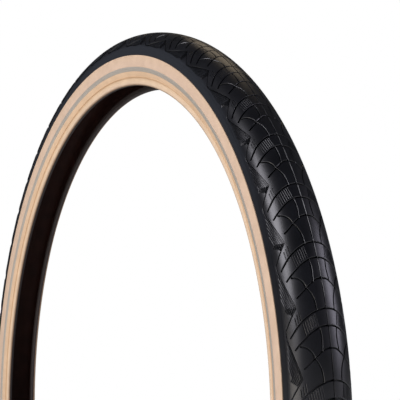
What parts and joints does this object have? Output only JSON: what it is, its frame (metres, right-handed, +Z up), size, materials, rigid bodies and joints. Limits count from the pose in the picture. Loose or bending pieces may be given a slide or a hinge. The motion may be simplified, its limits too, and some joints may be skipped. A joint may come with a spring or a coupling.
{
  "type": "bicycle tire",
  "caption": "Wire-bead bicycle tire with a grooved black tread, tan sidewalls and a thin reflective stripe, open inside for a rim and inner tube.",
  "frame": {"origin": "centre of the tire, on its axle line midway between the two sides", "axes": "+Y along the axle towards the right side, +Z up with the tire standing as on a wheel, +X forwards"},
  "size_m": [0.7286, 0.0502, 0.7286],
  "materials": {
    "tread_rubber": "moulded, slightly glossy black",
    "cushion_rubber": "matt black",
    "breaker_fabric": "woven yellow aramid",
    "casing_fabric": "rubbered cord, dark brown",
    "skin_rubber": "moulded tan, satin",
    "reflective_film": "grey retroreflective film",
    "chafer_fabric": "rubbered woven strip, dark brown",
    "bead_steel": "drawn wire with a thin bronze coat"
  },
  "bodies": {
    "root": {"tread_cap": "tread_rubber", "tread_cushion": "cushion_rubber", "puncture_breaker": "breaker_fabric", "outer_casing_ply": "casing_fabric", "inner_casing_ply": "casing_fabric", "right_sidewall_skin": "skin_rubber", "right_reflective_stripe": "reflective_film", "right_chafer_strip": "chafer_fabric", "right_bead_core": "bead_steel", "left_sidewall_skin": "skin_rubber", "left_reflective_stripe": "reflective_film", "left_chafer_strip": "chafer_fabric", "left_bead_core": "bead_steel"}
  },
  "joints": []
}
